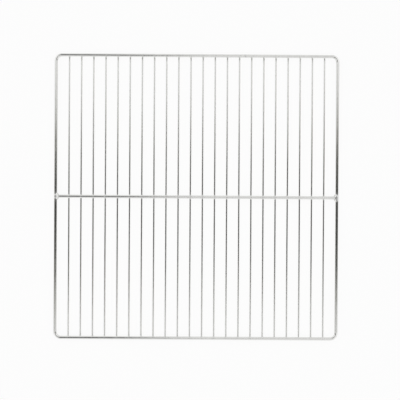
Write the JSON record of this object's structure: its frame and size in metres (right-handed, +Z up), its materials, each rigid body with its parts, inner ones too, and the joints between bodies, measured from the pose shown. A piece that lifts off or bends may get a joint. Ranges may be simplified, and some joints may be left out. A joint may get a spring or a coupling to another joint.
{
  "type": "wire rack",
  "caption": "Flat wire rack for a kitchen appliance: a closed bent-rod frame with a middle crossbar and evenly spaced wires welded across one face.",
  "frame": {"origin": "middle of the rack, on the surface that the wires rest on", "axes": "+Z up through the thickness, from the wires to the frame; +Y along the wires; +X across the wires, along the crossbar"},
  "size_m": [0.53, 0.5322, 0.0088],
  "materials": {
    "rods": "bright plated steel, smooth, with faint drawing lines along the rod",
    "wires": "bright plated steel, smooth, with faint drawing lines along the wire"
  },
  "bodies": {
    "root": {"frame": "rods", "crossbar": "rods", "wire_01": "wires", "wire_02": "wires", "wire_03": "wires", "wire_04": "wires", "wire_05": "wires", "wire_06": "wires", "wire_07": "wires", "wire_08": "wires", "wire_09": "wires", "wire_10": "wires", "wire_11": "wires", "wire_12": "wires", "wire_13": "wires", "wire_14": "wires", "wire_15": "wires", "wire_16": "wires", "wire_17": "wires", "wire_18": "wires", "wire_19": "wires", "wire_20": "wires", "wire_21": "wires", "wire_22": "wires"}
  },
  "joints": []
}
